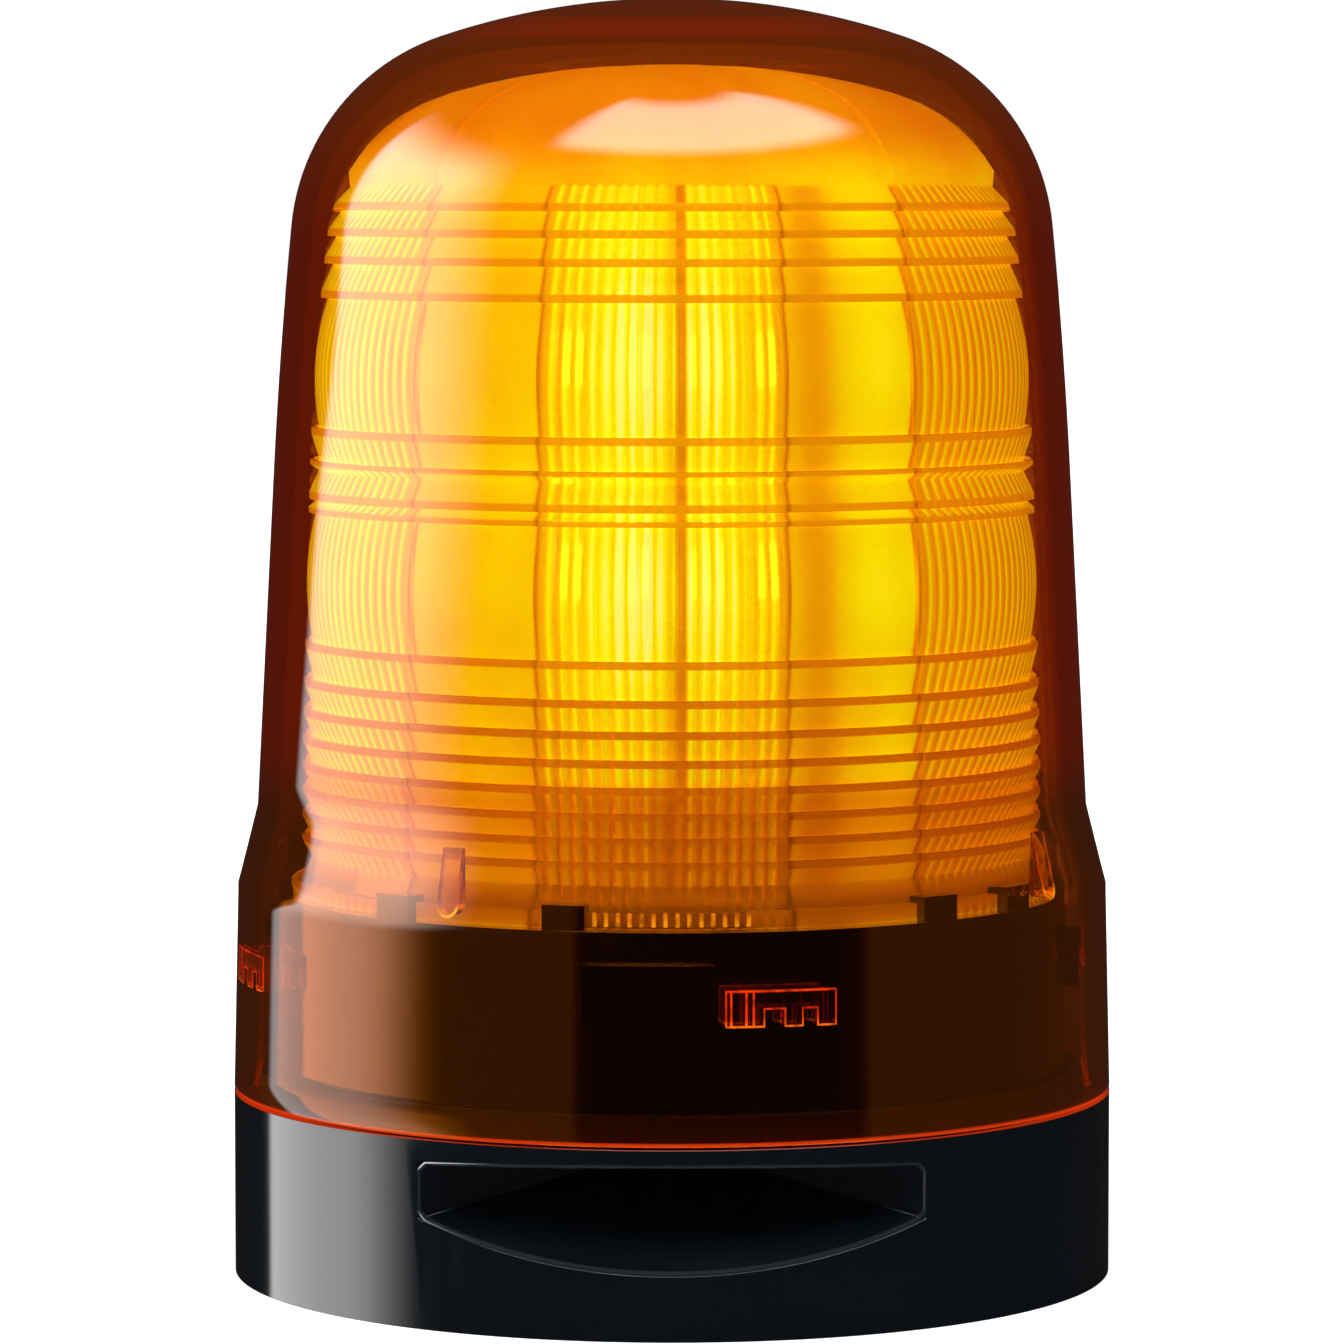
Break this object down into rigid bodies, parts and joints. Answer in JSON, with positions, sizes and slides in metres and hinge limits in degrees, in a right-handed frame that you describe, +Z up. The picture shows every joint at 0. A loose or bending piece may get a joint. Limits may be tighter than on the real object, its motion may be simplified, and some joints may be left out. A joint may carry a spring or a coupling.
{
  "type": "signal beacon",
  "caption": "Round amber LED signal beacon with a ribbed inner lens under a bayonet globe, on a black base with a buzzer outlet.",
  "frame": {"origin": "middle of the underside", "axes": "+Z up along the beacon's axis, -Y out of the buzzer outlet, +X to the right seen from the front"},
  "size_m": [0.1, 0.1, 0.1445],
  "materials": {
    "case_black": "glossy",
    "seal_rubber": "matt",
    "globe_amber": "clear amber polycarbonate",
    "lens_amber": "clear amber polycarbonate, prisms",
    "insert_brass": "plain",
    "screw_steel": "zinc plated",
    "column_metal": "satin",
    "cap_white": "satin",
    "lamp_board": "white solder mask",
    "lamp": "lamp case with a clear dome",
    "circuit_board": "green solder mask",
    "capacitor_blue": "sleeve",
    "coil_copper": "enamelled wire",
    "chip_black": "satin",
    "terminal_green": "satin",
    "disc_brass": "plain",
    "screen_grey": "matt mesh",
    "switch_blue": "satin",
    "lever_white": "satin"
  },
  "bodies": {
    "base": {"base_case": "case_black", "base_plate": "case_black", "base_gasket": "seal_rubber", "threaded_inserts": "insert_brass", "cable_grommet": "seal_rubber", "case_screws": "screw_steel", "case_seal": "seal_rubber", "upper_case": "case_black", "inner_lens": "lens_amber", "led_column": "column_metal", "column_cap": "cap_white", "column_screws": "screw_steel", "cap_screw": "screw_steel", "led_board_1": "lamp_board", "led_board_2": "lamp_board", "led_board_3": "lamp_board", "led_board_4": "lamp_board", "led_board_5": "lamp_board", "led_board_6": "lamp_board", "led_chips_1": "lamp", "led_chips_2": "lamp", "led_chips_3": "lamp", "led_chips_4": "lamp", "led_chips_5": "lamp", "led_chips_6": "lamp", "main_board": "circuit_board", "board_screws": "screw_steel", "capacitors": "capacitor_blue", "choke_coil": "coil_copper", "driver_chips": "chip_black", "led_connector": "cap_white", "terminal_block": "terminal_green", "terminal_screws": "screw_steel", "buzzer_holder": "chip_black", "buzzer_disc": "disc_brass", "buzzer_retainer": "chip_black", "sound_screen": "screen_grey", "buzzer_screws": "screw_steel", "switch_board": "circuit_board", "dip_housing": "switch_blue", "volume_base": "switch_blue"},
    "seal_ring": {"globe_seal": "seal_rubber"},
    "globe_cover": {"globe": "globe_amber"},
    "volume_control": {"volume_knob": "cap_white"},
    "switch_lever_1": {"dip_lever_1": "lever_white"},
    "switch_lever_2": {"dip_lever_2": "lever_white"},
    "switch_lever_3": {"dip_lever_3": "lever_white"},
    "switch_lever_4": {"dip_lever_4": "lever_white"}
  },
  "joints": [
    {"name": "globe_twist", "type": "hinge", "parent": "base", "child": "seal_ring", "pos_m": [0, 0, 0.0225], "axis": [0, 0, 1], "range_deg": [-15, 0]},
    {"name": "globe_lift", "type": "slide", "parent": "seal_ring", "child": "globe_cover", "axis": [0, 0, 1], "range_m": [0, 0.125]},
    {"name": "volume_turn", "type": "hinge", "parent": "base", "child": "volume_control", "pos_m": [0.008, 0.0416, 0.03], "axis": [0, 1, 0], "range_deg": [-135, 135]},
    {"name": "switch_1", "type": "slide", "parent": "base", "child": "switch_lever_1", "axis": [0, 0, 1], "range_m": [0, 0.002]},
    {"name": "switch_2", "type": "slide", "parent": "base", "child": "switch_lever_2", "axis": [0, 0, 1], "range_m": [0, 0.002]},
    {"name": "switch_3", "type": "slide", "parent": "base", "child": "switch_lever_3", "axis": [0, 0, 1], "range_m": [0, 0.002]},
    {"name": "switch_4", "type": "slide", "parent": "base", "child": "switch_lever_4", "axis": [0, 0, 1], "range_m": [0, 0.002]}
  ]
}
